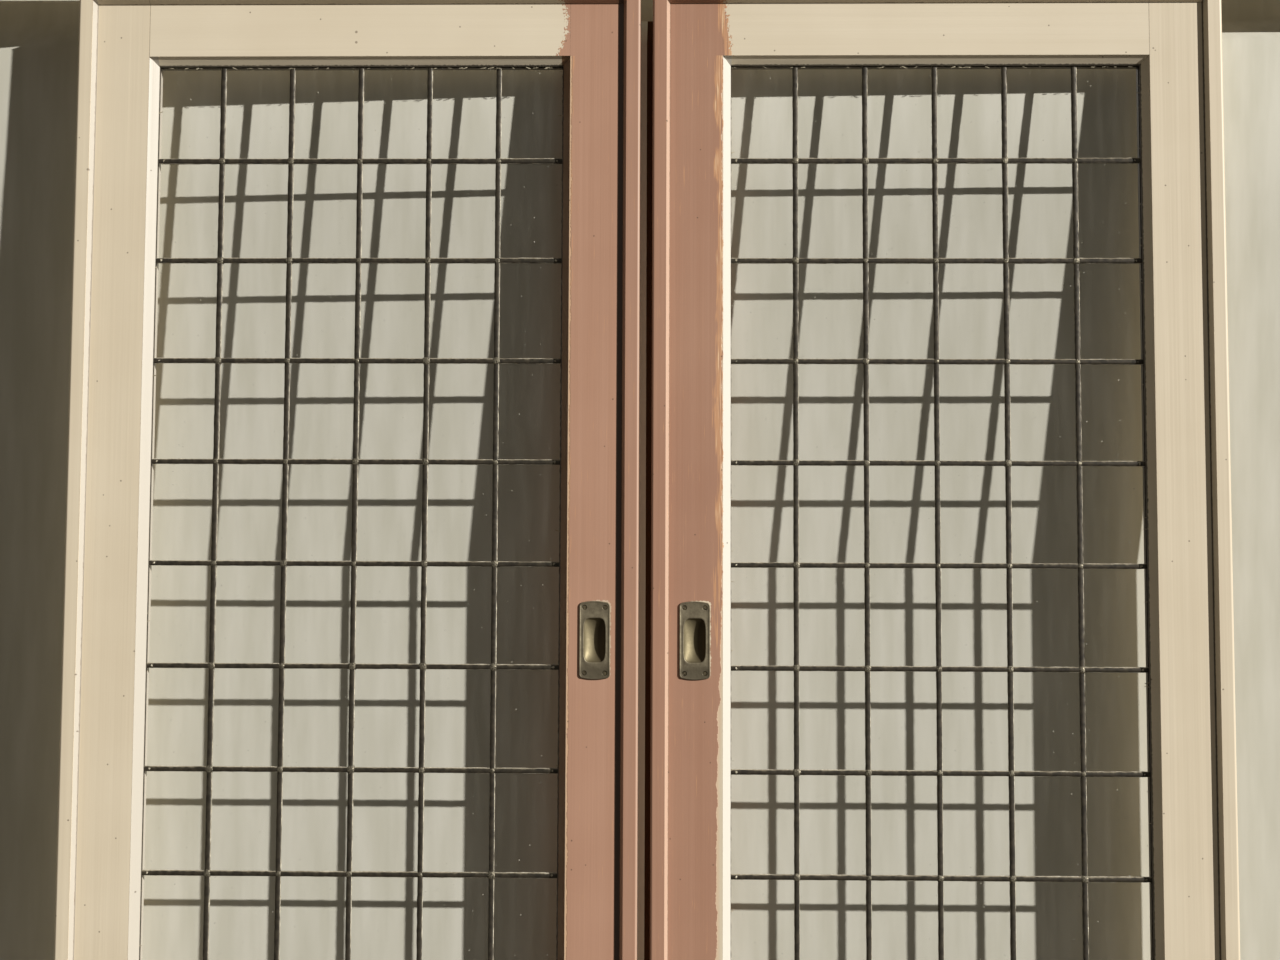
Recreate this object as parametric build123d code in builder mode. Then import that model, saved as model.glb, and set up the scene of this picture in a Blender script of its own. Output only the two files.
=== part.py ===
from build123d import *
import os
from math import atan2, degrees, radians, sqrt, tan

# A pair of leaded-light sliding doors that part in the middle, with the frame they run in.
# Millimetres. X runs across the doorway, the front looks along -Y, Z is up.
# The origin is on the floor, under the middle of the gap between the two leaves.

# Leaf
leaf_width = 900.0
leaf_height = 2100.0
leaf_thickness = 40.0
stile_face = 112.0           # leaf edge to the glazing bevel, rim included
top_rail_face = 112.0
bottom_rail_face = 205.0
meeting_gap = 20.0           # between the two leaves as they stand

# Glazing side of the stiles and rails
quirk_depth = 2.0            # small step down from the face before the bevel
bevel_width = 12.5
bevel_depth = 12.0
lip_thickness = 2.5          # wood left in front of the lead at the sight line

# Raised rim round the front of each leaf
rim_width = 22.0
rim_bevel = 5.5
rim_proud = 9.5
rim_quirk = 1.5
rim_arris = 2.0

# Tenons of the rails in the stiles
tenon_thickness = 12.0
tenon_length = 70.0
top_tenon_height = 70.0
bottom_tenon_height = 60.0
bottom_tenon_gap = 40.0
tenon_clearance = 0.15
mortise_end_space = 1.0

# Leaded light
columns = 6
rows = 11
came_width = 8.0             # over the flanges
came_crown = 4.0             # flat top of the rounded flange
came_flange = 1.3
came_heart = 1.6             # web between two panes
light_clearance = 0.5        # lead to rebate
glass_thickness = 3.0
glass_face_clearance = 0.1
glass_edge_clearance = 0.4

# Beads that hold the light from the back
bead_setback = 2.0           # below the back of the leaf
bead_chamfer = 6.0
bead_clearance = 0.2

# Flush pull
pull_width = 48.0
pull_height = 122.0
pull_arch = 4.0              # rise of the arched top and bottom
pull_corner = 5.0
pull_plate = 2.0
pull_edge_width = 2.0        # raised edge of the plate
pull_edge_rise = 0.6
pull_from_edge = 68.0        # leaf edge to the middle of the pull
pull_above_bottom = 1059.0   # leaf bottom to the middle of the pull
cup_width = 34.0
cup_height = 69.0
cup_corner = 10.0
cup_depth = 14.0
cup_wall = 1.5
cup_side_depth = 8.0         # steep side of the cup, above its sloping floor edge
cup_side_draft = 18.0        # degrees
cup_floor_draft = 50.0
cup_clearance = 0.5
pull_screw_spacing_x = 32.0
pull_screw_spacing_z = 102.0
pull_screw_head = 3.4
pull_screw_shank = 1.6
pull_screw_length = 16.0
screw_clearance = 0.05
screw_head_angle = 90.0
pilot_extra = 1.0

# Grooved wheels on the floor rail
wheel_inset = 180.0          # leaf edge to the wheel's axle
wheel_run_radius = 20.0      # axle to the bottom of the groove
wheel_flange = 3.5
wheel_thickness = 14.0
wheel_groove_slope = 45.0    # degrees, sides of the groove
wheel_rail_clearance = 0.3
axle_radius = 4.0
axle_clearance = 0.05
wheel_side_gap = 0.5

# Steel case round each wheel, let into the bottom rail
case_plate_length = 104.0
case_plate_width = 25.0
case_plate_thickness = 3.0
case_plate_corner = 6.0
case_cheek = 2.5
case_cheek_length = 56.0
case_headroom = 3.0
case_clearance = 0.2
case_slot_gap = 1.5
case_screw_inset = 12.0
case_screw_head = 4.2
case_screw_shank = 2.0
case_screw_length = 30.0

# Guide pins in the top of each leaf
pin_inset = 150.0
pin_radius = 6.0
pin_let_in = 30.0
pin_proud = 22.0
pin_fit = 0.05
pin_chamfer = 1.5
pin_groove_clearance = 0.5

# Frame
frame_depth = 120.0
sole_thickness = 20.0
head_thickness = 30.0
post_thickness = 45.0
frame_arris = 2.0
lath_width = 24.0
lath_height = 24.0
leaf_headroom = 8.0          # leaf top to the guide laths
leaf_lift = 4.0              # floor rail to leaf bottom
floor_rail_width = 8.0
floor_rail_proud = 6.0
floor_rail_let_in = 3.0
pocket_travel = 790.0        # how far a leaf slides outwards
buffer_width = 40.0
buffer_length = 60.0
buffer_thickness = 12.0
buffer_chamfer = 2.0
buffer_height = 120.0        # above the leaf bottom
buffer_clearance = 0.2
fixing_hole_radius = 3.5
fixing_spacing_x = 3000.0
fixing_spacing_y = 84.0
post_hole_low = 300.0
post_hole_spacing = 1600.0
frame_screw_head = 6.0
frame_screw_shank = 2.8
frame_screw_grip = 50.0      # length in the post

# Heights
sole_top = sole_thickness
rail_top = sole_top + floor_rail_proud
leaf_bottom = rail_top + leaf_lift
leaf_top = leaf_bottom + leaf_height
leaf_middle = leaf_bottom + leaf_height / 2
lath_bottom = leaf_top + leaf_headroom
head_bottom = lath_bottom + lath_height
head_top = head_bottom + head_thickness
axle_height = rail_top + wheel_rail_clearance + wheel_run_radius
pull_middle = leaf_bottom + pull_above_bottom

# Depths, from the front to the back of a leaf
face = -leaf_thickness / 2
back = leaf_thickness / 2
rim_front = face - rim_proud
bevel_top = face + quirk_depth
bevel_root = bevel_top + bevel_depth
light_front = bevel_root + lip_thickness
channel = glass_thickness + 2 * glass_face_clearance
light_back = light_front + 2 * came_flange + channel
bead_back = back - bead_setback

# Opening for the glass, seen from the front
opening_width = leaf_width - 2 * stile_face
opening_bottom = leaf_bottom + bottom_rail_face
opening_top = leaf_top - top_rail_face
opening_height = opening_top - opening_bottom
opening_middle = (opening_top + opening_bottom) / 2
sight_width = opening_width - 2 * bevel_width
sight_height = opening_height - 2 * bevel_width
light_cover = bevel_width - came_width / 2 - light_clearance
pitch_x = (sight_width + 2 * light_cover) / columns
pitch_z = (sight_height + 2 * light_cover) / rows

# Frame places
post_inner = meeting_gap / 2 + leaf_width + pocket_travel + buffer_clearance + buffer_thickness
frame_length = 2 * (post_inner + post_thickness)
groove_half = pin_radius + pin_groove_clearance

sides = {"left": -1, "right": 1}


def upright(y):
    """Plane that faces the front at depth y: its x is X and its y is Z."""
    return Plane.XZ.offset(-y)


def across(side, from_meeting_edge):
    """X of a point on a leaf, from its distance to the leaf's meeting edge."""
    return side * (meeting_gap / 2 + from_meeting_edge)


def save(piece, label):
    """Name a finished piece and write it."""
    piece.part.label = label
    export_step(piece.part, f"parts/{label}.step")


def outline(side, points):
    """Closed face from points given as (distance to the meeting edge, height)."""
    Polygon(*[(across(side, u), z) for u, z in points], align=None)


def countersunk_screws(places, head_radius, shank_radius, length):
    """Screws whose countersunk heads lie flush at the given planes, pointing into them."""
    head_depth = (head_radius - shank_radius) / tan(radians(screw_head_angle / 2))
    with BuildPart() as screw:
        with BuildSketch(Plane.XZ):
            with BuildLine():
                Polyline((0, 0), (head_radius, 0), (shank_radius, -head_depth),
                         (shank_radius, -length), (0, -length), close=True)
            make_face()
        revolve(axis=Axis.Z)
    with BuildPart() as screws:
        with Locations(*places):
            add(screw.part)
    return screws


def sunk_holes(places, head_radius, shank_radius, depth):
    """Countersunk holes that take those screws, in the part being built."""
    with Locations(*places):
        CounterSinkHole(shank_radius + screw_clearance, head_radius + screw_clearance, depth,
                        screw_head_angle)


def pilot_holes(places, shank_radius, length):
    """Round holes in the wood behind a screwed-on fitting."""
    with Locations(*places):
        Hole(shank_radius + screw_clearance, length + pilot_extra)


def pull_screw_places(side):
    """Planes at the heads of a pull's screws, looking out of the front."""
    middle = across(side, pull_from_edge)
    front = face - pull_plate
    return [Plane((middle + i * pull_screw_spacing_x / 2, front, pull_middle + j * pull_screw_spacing_z / 2),
                  x_dir=(1, 0, 0), z_dir=(0, -1, 0)) for i in (-1, 1) for j in (-1, 1)]


def wheel_places(side):
    """X of the two wheels of a leaf, by name."""
    return {"meeting": across(side, wheel_inset), "outer": across(side, leaf_width - wheel_inset)}


def case_screw_places(x):
    """Planes at the heads of a wheel case's screws, looking down."""
    reach = case_plate_length / 2 - case_screw_inset
    return [Plane((x + i * reach, 0, leaf_bottom), x_dir=(1, 0, 0), z_dir=(0, 0, -1)) for i in (-1, 1)]


# Stiles and rails: one bevelled and rebated ring, parted at its shoulders and mitres

def joinery_ring(side):
    """Front lip with quirk and bevel, rebate at the back, all round the opening."""
    middle = across(side, leaf_width / 2)
    with BuildPart() as ring:
        with BuildSketch(upright(back)):
            with Locations((middle, leaf_middle)):
                Rectangle(leaf_width, leaf_height)
            with Locations((middle, opening_middle)):
                Rectangle(sight_width, sight_height, mode=Mode.SUBTRACT)
        extrude(amount=leaf_thickness)
        with BuildSketch(upright(bevel_root)):
            with Locations((middle, opening_middle)):
                Rectangle(sight_width, sight_height)
        with BuildSketch(upright(bevel_top)):
            with Locations((middle, opening_middle)):
                Rectangle(opening_width, opening_height)
        loft(mode=Mode.SUBTRACT)
        with BuildSketch(upright(bevel_top)):
            with Locations((middle, opening_middle)):
                Rectangle(opening_width, opening_height)
        extrude(amount=quirk_depth, mode=Mode.SUBTRACT)
        with BuildSketch(upright(back)):
            with Locations((middle, opening_middle)):
                Rectangle(opening_width, opening_height)
        extrude(amount=back - light_front, mode=Mode.SUBTRACT)
    return ring


def tenons(side, rail, clearance=0.0, mode=Mode.ADD):
    """Tenons at both ends of a rail, or their mortises when a clearance is given."""
    if rail == "top":
        height = top_tenon_height
        middles = [leaf_top - top_rail_face / 2]
    else:
        height = bottom_tenon_height
        step = (bottom_tenon_height + bottom_tenon_gap) / 2
        middles = [leaf_bottom + bottom_rail_face / 2 + k * step for k in (-1, 1)]
    length = tenon_length + (mortise_end_space if clearance else 0)
    for shoulder, way in ((stile_face, -1), (leaf_width - stile_face, 1)):
        with Locations(*[(across(side, shoulder + way * length / 2), 0, z) for z in middles]):
            Box(length, tenon_thickness + 2 * clearance, height + 2 * clearance, mode=mode)


def stile(side, ring, far):
    """Upright of a leaf: the one at the meeting edge, or the far one at the outer edge."""
    inner = [(stile_face, leaf_bottom), (stile_face, opening_bottom),
             (stile_face + bevel_width, opening_bottom + bevel_width),
             (stile_face + bevel_width, opening_top - bevel_width),
             (stile_face, opening_top), (stile_face, leaf_top), (0, leaf_top), (0, leaf_bottom)]
    points = [(leaf_width - u, z) for u, z in inner] if far else inner
    with BuildPart() as upright_piece:
        add(ring.part)
        with BuildSketch(upright(back)):
            outline(side, points)
        extrude(amount=leaf_thickness, mode=Mode.INTERSECT)
        for rail in ("top", "bottom"):
            tenons(side, rail, tenon_clearance, Mode.SUBTRACT)
        if not far:
            with BuildSketch(upright(face)):
                with Locations((across(side, pull_from_edge), pull_middle)):
                    room = 2 * (cup_wall + cup_clearance)
                    RectangleRounded(cup_width + room, cup_height + room, cup_corner)
            extrude(amount=-(cup_depth + cup_wall + cup_clearance - pull_plate), mode=Mode.SUBTRACT)
            pilot_holes(pull_screw_places(side), pull_screw_shank, pull_screw_length)
    return upright_piece


def top_rail(side, ring):
    """Top rail, with its tenons and the holes for the guide pins."""
    with BuildPart() as rail:
        add(ring.part)
        with BuildSketch(upright(back)):
            outline(side, [(stile_face, leaf_top), (leaf_width - stile_face, leaf_top),
                           (leaf_width - stile_face, opening_top),
                           (leaf_width - stile_face - bevel_width, opening_top - bevel_width),
                           (stile_face + bevel_width, opening_top - bevel_width), (stile_face, opening_top)])
        extrude(amount=leaf_thickness, mode=Mode.INTERSECT)
        tenons(side, "top")
        with Locations(*[(across(side, u), 0, leaf_top) for u in (pin_inset, leaf_width - pin_inset)]):
            Hole(pin_radius + pin_fit, pin_let_in)
    return rail


def bottom_rail(side, ring):
    """Bottom rail, with its tenons and the sinkings for the two wheel cases."""
    cheek_top = axle_height + wheel_run_radius + wheel_flange + case_headroom
    sinking_width = wheel_thickness + 2 * (wheel_side_gap + case_cheek + case_clearance)
    with BuildPart() as rail:
        add(ring.part)
        with BuildSketch(upright(back)):
            outline(side, [(stile_face, leaf_bottom), (leaf_width - stile_face, leaf_bottom),
                           (leaf_width - stile_face, opening_bottom),
                           (leaf_width - stile_face - bevel_width, opening_bottom + bevel_width),
                           (stile_face + bevel_width, opening_bottom + bevel_width),
                           (stile_face, opening_bottom)])
        extrude(amount=leaf_thickness, mode=Mode.INTERSECT)
        tenons(side, "bottom")
        for x in wheel_places(side).values():
            with Locations((x, 0, leaf_bottom + case_plate_thickness / 2)):
                Box(case_plate_length + 2 * case_clearance, case_plate_width + 2 * case_clearance,
                    case_plate_thickness, mode=Mode.SUBTRACT)
            with Locations((x, 0, (leaf_bottom + cheek_top + case_clearance) / 2)):
                Box(case_cheek_length + 2 * case_clearance, sinking_width,
                    cheek_top + case_clearance - leaf_bottom, mode=Mode.SUBTRACT)
            pilot_holes(case_screw_places(x), case_screw_shank, case_screw_length)
    return rail


# Mitred surrounds: the raised rim at the front and the glazing beads at the back

def rim_ring(side):
    """Raised rim as one ring, with rounded arris, small quirk and inner bevel."""
    middle = (across(side, leaf_width / 2), leaf_middle)
    inner = 2 * (rim_width + rim_bevel)
    with BuildPart() as ring:
        with BuildSketch(upright(face)):
            with Locations(middle):
                Rectangle(leaf_width, leaf_height)
        extrude(amount=rim_proud)
        fillet(ring.faces().sort_by(Axis.Y)[0].edges(), rim_arris)
        with BuildSketch(upright(face)):
            with Locations(middle):
                Rectangle(leaf_width - inner, leaf_height - inner)
        with BuildSketch(upright(rim_front + rim_quirk)):
            with Locations(middle):
                Rectangle(leaf_width - 2 * rim_width, leaf_height - 2 * rim_width)
        loft(mode=Mode.SUBTRACT)
        with BuildSketch(upright(rim_front + rim_quirk)):
            with Locations(middle):
                Rectangle(leaf_width - 2 * rim_width, leaf_height - 2 * rim_width)
        extrude(amount=rim_quirk, mode=Mode.SUBTRACT)
    return ring


def bead_ring(side):
    """Glazing beads as one ring, chamfered towards the glass at the back."""
    middle = (across(side, leaf_width / 2), opening_middle)
    with BuildPart() as ring:
        with BuildSketch(upright(bead_back)):
            with Locations(middle):
                Rectangle(opening_width - 2 * bead_clearance, opening_height - 2 * bead_clearance)
                Rectangle(sight_width, sight_height, mode=Mode.SUBTRACT)
        extrude(amount=bead_back - light_back)
        with BuildSketch(upright(bead_back)):
            with Locations(middle):
                Rectangle(sight_width + 2 * bead_chamfer, sight_height + 2 * bead_chamfer)
        with BuildSketch(upright(bead_back - bead_chamfer)):
            with Locations(middle):
                Rectangle(sight_width, sight_height)
        loft(mode=Mode.SUBTRACT)
    return ring


def mitred_piece(side, ring, where, low, high, inset, width):
    """One side of a mitred ring. low, high: its lower and upper edge; inset: from the leaf's
    edge to the ring; width: of the ring. where: meeting, outer, top or bottom."""
    near, far = inset, leaf_width - inset
    corners = {
        "meeting": [(near, low), (near + width, low + width), (near + width, high - width), (near, high)],
        "outer": [(far, low), (far - width, low + width), (far - width, high - width), (far, high)],
        "top": [(near, high), (near + width, high - width), (far - width, high - width), (far, high)],
        "bottom": [(near, low), (near + width, low + width), (far - width, low + width), (far, low)],
    }
    with BuildPart() as piece:
        add(ring.part)
        with BuildSketch(upright(back)):
            outline(side, corners[where])
        extrude(amount=back - rim_front, mode=Mode.INTERSECT)
    return piece


# Leaded light

def lead_cames(side):
    """Net of H-section lead cames soldered into one: a web between two rounded flanges."""
    middle = (across(side, leaf_width / 2), opening_middle)
    net_width = columns * pitch_x
    net_height = rows * pitch_z
    slope = degrees(atan2((came_width - came_crown) / 2, came_flange))
    with BuildPart() as cames:
        with BuildSketch(upright(light_front + came_flange + channel)):
            with Locations(middle):
                Rectangle(net_width + came_heart, net_height + came_heart)
                with GridLocations(pitch_x, pitch_z, columns, rows):
                    Rectangle(pitch_x - came_heart, pitch_z - came_heart, mode=Mode.SUBTRACT)
        extrude(amount=channel)
        for inner, outwards in ((light_front + came_flange, 1), (light_back - came_flange, -1)):
            with BuildSketch(upright(inner)):
                with Locations(middle):
                    Rectangle(net_width + came_width, net_height + came_width)
            extrude(amount=outwards * came_flange)
        for outer, outwards in ((light_front, 1), (light_back, -1)):
            with BuildSketch(upright(outer + outwards * came_flange)):
                with Locations(middle):
                    with GridLocations(pitch_x, pitch_z, columns, rows):
                        Rectangle(pitch_x - came_width, pitch_z - came_width)
            extrude(amount=outwards * came_flange, taper=-slope, mode=Mode.SUBTRACT)
    return cames


def glass_panes(side):
    """The panes, each a separate sheet held in the grooves of the lead."""
    with BuildPart() as panes:
        with BuildSketch(upright(light_front + came_flange + glass_face_clearance + glass_thickness)):
            with Locations((across(side, leaf_width / 2), opening_middle)):
                with GridLocations(pitch_x, pitch_z, columns, rows):
                    gap = came_heart + 2 * glass_edge_clearance
                    Rectangle(pitch_x - gap, pitch_z - gap)
        extrude(amount=glass_thickness)
    return panes


# Flush pull

def flush_pull(side):
    """Plate with arched ends and a raised edge, and a dished cup for the fingers."""
    top = pull_height / 2
    half = pull_width / 2
    middle = (across(side, pull_from_edge), pull_middle)
    front = face - pull_plate
    side_inset = cup_side_depth * tan(radians(cup_side_draft))
    with BuildPart() as pull:
        for start, rise, edge_only in ((face, pull_plate, False), (front, pull_edge_rise, True)):
            with BuildSketch(Plane((middle[0], start, middle[1]), x_dir=(1, 0, 0), z_dir=(0, -1, 0))) as plate:
                with BuildLine():
                    ThreePointArc((-half, top - pull_arch), (0, top), (half, top - pull_arch))
                    Line((half, top - pull_arch), (half, pull_arch - top))
                    ThreePointArc((half, pull_arch - top), (0, -top), (-half, pull_arch - top))
                    Line((-half, pull_arch - top), (-half, top - pull_arch))
                make_face()
                fillet(plate.vertices(), pull_corner)
                if edge_only:
                    offset(amount=-pull_edge_width, mode=Mode.SUBTRACT)
            extrude(amount=rise)
        with BuildSketch(upright(front)):
            with Locations(middle):
                RectangleRounded(cup_width + 2 * cup_wall, cup_height + 2 * cup_wall, cup_corner + cup_wall)
        extrude(amount=-(cup_depth + cup_wall))
        with BuildSketch(upright(front)):
            with Locations(middle):
                RectangleRounded(cup_width, cup_height, cup_corner)
        extrude(amount=-cup_side_depth, taper=cup_side_draft, mode=Mode.SUBTRACT)
        with BuildSketch(upright(front + cup_side_depth)):
            with Locations(middle):
                RectangleRounded(cup_width - 2 * side_inset, cup_height - 2 * side_inset,
                                 cup_corner - side_inset)
        extrude(amount=cup_side_depth - cup_depth, taper=cup_floor_draft, mode=Mode.SUBTRACT)
        sunk_holes(pull_screw_places(side), pull_screw_head, pull_screw_shank, 2 * pull_plate)
    return pull


# Wheels and their cases

def grooved_wheel(x):
    """Brass wheel with a sloping groove that straddles the floor rail's round top."""
    slope = radians(wheel_groove_slope)
    floor = (floor_rail_width / 2 + wheel_rail_clearance) * tan(slope / 2)
    mouth = floor + wheel_flange / tan(slope)
    bore = axle_radius + axle_clearance
    outer = wheel_run_radius + wheel_flange
    with BuildPart() as wheel:
        with BuildSketch(Plane((x, 0, axle_height), x_dir=(0, 1, 0), z_dir=(1, 0, 0))):
            with Locations((0, (bore + outer) / 2)):
                Rectangle(wheel_thickness, outer - bore)
            with BuildLine():
                Polyline((-mouth, outer), (-floor, wheel_run_radius), (floor, wheel_run_radius),
                         (mouth, outer), close=True)
            make_face(mode=Mode.SUBTRACT)
        revolve(axis=Axis((x, 0, axle_height), (0, 1, 0)))
    return wheel


def wheel_axle(x):
    """Steel axle, as long as the case is wide."""
    with BuildPart(Plane((x, 0, axle_height), x_dir=(1, 0, 0), z_dir=(0, 1, 0))) as axle:
        Cylinder(axle_radius, wheel_thickness + 2 * (wheel_side_gap + case_cheek))
    return axle


def wheel_case(x):
    """Face plate with cut corners and a slot for the wheel, and two cheeks for the axle."""
    outer = wheel_run_radius + wheel_flange
    inner_width = wheel_thickness + 2 * wheel_side_gap
    plate_top = leaf_bottom + case_plate_thickness
    cheek_top = axle_height + outer + case_headroom
    chord = 2 * sqrt(outer ** 2 - (axle_height - plate_top) ** 2)
    with BuildPart() as case:
        with BuildSketch(Plane.XY.offset(leaf_bottom)):
            with Locations((x, 0)):
                plate = Rectangle(case_plate_length, case_plate_width)
                chamfer(plate.vertices(), case_plate_corner)
                Rectangle(chord + 2 * case_slot_gap, inner_width, mode=Mode.SUBTRACT)
        extrude(amount=case_plate_thickness)
        with BuildSketch(upright(inner_width / 2 + case_cheek)):
            with Locations((x, (plate_top + cheek_top) / 2)):
                Rectangle(case_cheek_length, cheek_top - plate_top)
            with Locations((x, axle_height)):
                Circle(axle_radius + axle_clearance, mode=Mode.SUBTRACT)
        extrude(amount=inner_width + 2 * case_cheek)
        with Locations((x, 0, (plate_top + cheek_top) / 2)):
            Box(case_cheek_length, inner_width, cheek_top - plate_top, mode=Mode.SUBTRACT)
        sunk_holes(case_screw_places(x), case_screw_head, case_screw_shank, 2 * case_plate_thickness)
    return case


def guide_pin(x):
    """Brass pin in the leaf's top edge, with a chamfered end that runs in the head's groove."""
    with BuildPart(Plane.XY.offset(leaf_top - pin_let_in)) as pin:
        with Locations((x, 0, 0)):
            Cylinder(pin_radius, pin_let_in + pin_proud, align=(Align.CENTER, Align.CENTER, Align.MIN))
        chamfer(pin.faces().sort_by(Axis.Z)[-1].edges(), pin_chamfer)
    return pin


# Frame

def fixing_holes(height, depth):
    """Four holes for fixing a board to the floor or ceiling."""
    with Locations((0, 0, height)):
        with GridLocations(fixing_spacing_x, fixing_spacing_y, 2, 2):
            Hole(fixing_hole_radius, depth)


def frame_screw_places(z, way):
    """Planes at the heads of the screws that hold the posts; way: 1 looks up, -1 down."""
    middle = post_inner + post_thickness / 2
    return [Plane((side * middle, 0, z), x_dir=(1, 0, 0), z_dir=(0, 0, way)) for side in sides.values()]


def sole_board():
    """Board on the floor, with a groove for the floor rail."""
    with BuildPart() as sole:
        with Locations((0, 0, sole_thickness / 2)):
            Box(frame_length, frame_depth, sole_thickness)
        chamfer(sole.faces().sort_by(Axis.Z)[-1].edges().filter_by(Axis.X), frame_arris)
        with Locations((0, 0, sole_top - floor_rail_let_in / 2)):
            Box(2 * post_inner, floor_rail_width, floor_rail_let_in, mode=Mode.SUBTRACT)
        fixing_holes(sole_top, sole_thickness)
        sunk_holes(frame_screw_places(0, -1), frame_screw_head, frame_screw_shank, sole_thickness)
    return sole


def floor_rail():
    """Brass running strip with a half-round top."""
    half = floor_rail_width / 2
    bottom = sole_top - floor_rail_let_in
    with BuildPart() as rail:
        with BuildSketch(Plane.YZ.offset(-post_inner)):
            with BuildLine():
                Line((-half, bottom), (half, bottom))
                Line((half, bottom), (half, rail_top - half))
                ThreePointArc((half, rail_top - half), (0, rail_top), (-half, rail_top - half))
                Line((-half, rail_top - half), (-half, bottom))
            make_face()
        extrude(amount=2 * post_inner)
    return rail


def head_board():
    """Board over the leaves, screwed down on the posts."""
    with BuildPart() as head:
        with Locations((0, 0, head_bottom + head_thickness / 2)):
            Box(frame_length, frame_depth, head_thickness)
        chamfer(head.faces().sort_by(Axis.Z)[0].edges().filter_by(Axis.X), frame_arris)
        fixing_holes(head_top, head_thickness)
        sunk_holes(frame_screw_places(head_top, 1), frame_screw_head, frame_screw_shank, head_thickness)
    return head


def guide_lath(way):
    """Lath under the head, on one side of the groove; way: -1 front, 1 back."""
    with BuildPart() as lath:
        with Locations((0, way * (groove_half + lath_width / 2), lath_bottom + lath_height / 2)):
            Box(2 * post_inner, lath_width, lath_height)
        chamfer(lath.faces().sort_by(Axis.Z)[0].edges().filter_by(Axis.X), frame_arris)
    return lath


def post(side):
    """End post, with two holes for fixing it sideways."""
    places = [Plane((side * (post_inner + post_thickness), 0, post_hole_low + k * post_hole_spacing),
                    x_dir=(0, 1, 0), z_dir=(side, 0, 0)) for k in (0, 1)]
    with BuildPart() as upright_post:
        with Locations((side * (post_inner + post_thickness / 2), 0, (sole_top + head_bottom) / 2)):
            Box(post_thickness, frame_depth, head_bottom - sole_top)
        chamfer(upright_post.edges().filter_by(Axis.Z), frame_arris)
        with Locations(*places):
            Hole(fixing_hole_radius, post_thickness)
        pilot_holes(frame_screw_places(head_bottom, 1) + frame_screw_places(sole_top, -1),
                    frame_screw_shank, frame_screw_grip)
    return upright_post


def end_buffer(side):
    """Rubber pad on the post that stops the leaf at the end of its travel."""
    with BuildPart(Plane((side * post_inner, 0, leaf_bottom + buffer_height),
                         x_dir=(0, 1, 0), z_dir=(-side, 0, 0))) as pad:
        Box(buffer_width, buffer_length, buffer_thickness, align=(Align.CENTER, Align.CENTER, Align.MIN))
        chamfer(pad.faces().sort_by(Axis.X)[0 if side > 0 else -1].edges(), buffer_chamfer)
    return pad


os.makedirs("parts", exist_ok=True)

for name, side in sides.items():
    ring = joinery_ring(side)
    save(stile(side, ring, far=False), f"{name}_meeting_stile")
    save(stile(side, ring, far=True), f"{name}_outer_stile")
    save(top_rail(side, ring), f"{name}_top_rail")
    save(bottom_rail(side, ring), f"{name}_bottom_rail")

    rims = rim_ring(side)
    beads = bead_ring(side)
    for where in ("meeting", "outer", "top", "bottom"):
        save(mitred_piece(side, rims, where, leaf_bottom, leaf_top, 0, rim_width + rim_bevel),
             f"{name}_{where}_rim")
        save(mitred_piece(side, beads, where, opening_bottom, opening_top, stile_face, bevel_width),
             f"{name}_{where}_bead")

    save(lead_cames(side), f"{name}_lead_cames")
    save(glass_panes(side), f"{name}_glass_panes")

    save(flush_pull(side), f"{name}_flush_pull")
    save(countersunk_screws(pull_screw_places(side), pull_screw_head, pull_screw_shank, pull_screw_length),
         f"{name}_pull_screws")

    case_screws = []
    for where, x in wheel_places(side).items():
        save(grooved_wheel(x), f"{name}_{where}_wheel")
        save(wheel_axle(x), f"{name}_{where}_axle")
        save(wheel_case(x), f"{name}_{where}_wheel_case")
        case_screws += case_screw_places(x)
    save(countersunk_screws(case_screws, case_screw_head, case_screw_shank, case_screw_length),
         f"{name}_case_screws")

    save(guide_pin(across(side, pin_inset)), f"{name}_meeting_guide_pin")
    save(guide_pin(across(side, leaf_width - pin_inset)), f"{name}_outer_guide_pin")

    save(post(side), f"{name}_post")
    save(end_buffer(side), f"{name}_end_buffer")

save(sole_board(), "sole_board")
save(floor_rail(), "floor_rail")
save(head_board(), "head_board")
save(guide_lath(-1), "front_guide_lath")
save(guide_lath(1), "back_guide_lath")

top_screws = countersunk_screws(frame_screw_places(head_top, 1), frame_screw_head, frame_screw_shank,
                                head_thickness + frame_screw_grip)
bottom_screws = countersunk_screws(frame_screw_places(0, -1), frame_screw_head, frame_screw_shank,
                                   sole_thickness + frame_screw_grip)
with BuildPart() as frame_screws:
    add(top_screws.part)
    add(bottom_screws.part)
save(frame_screws, "frame_screws")
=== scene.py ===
import math
from functools import partial

import bmesh
import bpy
from mathutils import Matrix, Vector


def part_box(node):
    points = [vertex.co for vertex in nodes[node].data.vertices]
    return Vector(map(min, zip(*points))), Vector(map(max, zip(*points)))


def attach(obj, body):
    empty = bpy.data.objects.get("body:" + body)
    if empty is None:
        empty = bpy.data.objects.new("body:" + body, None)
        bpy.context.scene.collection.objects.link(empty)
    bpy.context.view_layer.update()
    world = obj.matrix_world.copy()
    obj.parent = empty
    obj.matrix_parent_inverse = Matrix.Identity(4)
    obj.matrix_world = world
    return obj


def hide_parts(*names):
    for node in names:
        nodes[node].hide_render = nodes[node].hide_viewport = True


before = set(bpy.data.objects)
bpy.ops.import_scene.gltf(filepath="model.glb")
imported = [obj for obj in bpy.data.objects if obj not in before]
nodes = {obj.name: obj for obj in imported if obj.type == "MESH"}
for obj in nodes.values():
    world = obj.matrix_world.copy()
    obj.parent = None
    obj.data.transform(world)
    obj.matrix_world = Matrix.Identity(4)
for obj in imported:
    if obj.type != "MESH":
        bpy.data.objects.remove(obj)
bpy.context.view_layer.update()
leaves = {"left": -1, "right": 1}     # the side of the doorway that each leaf is on


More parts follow.
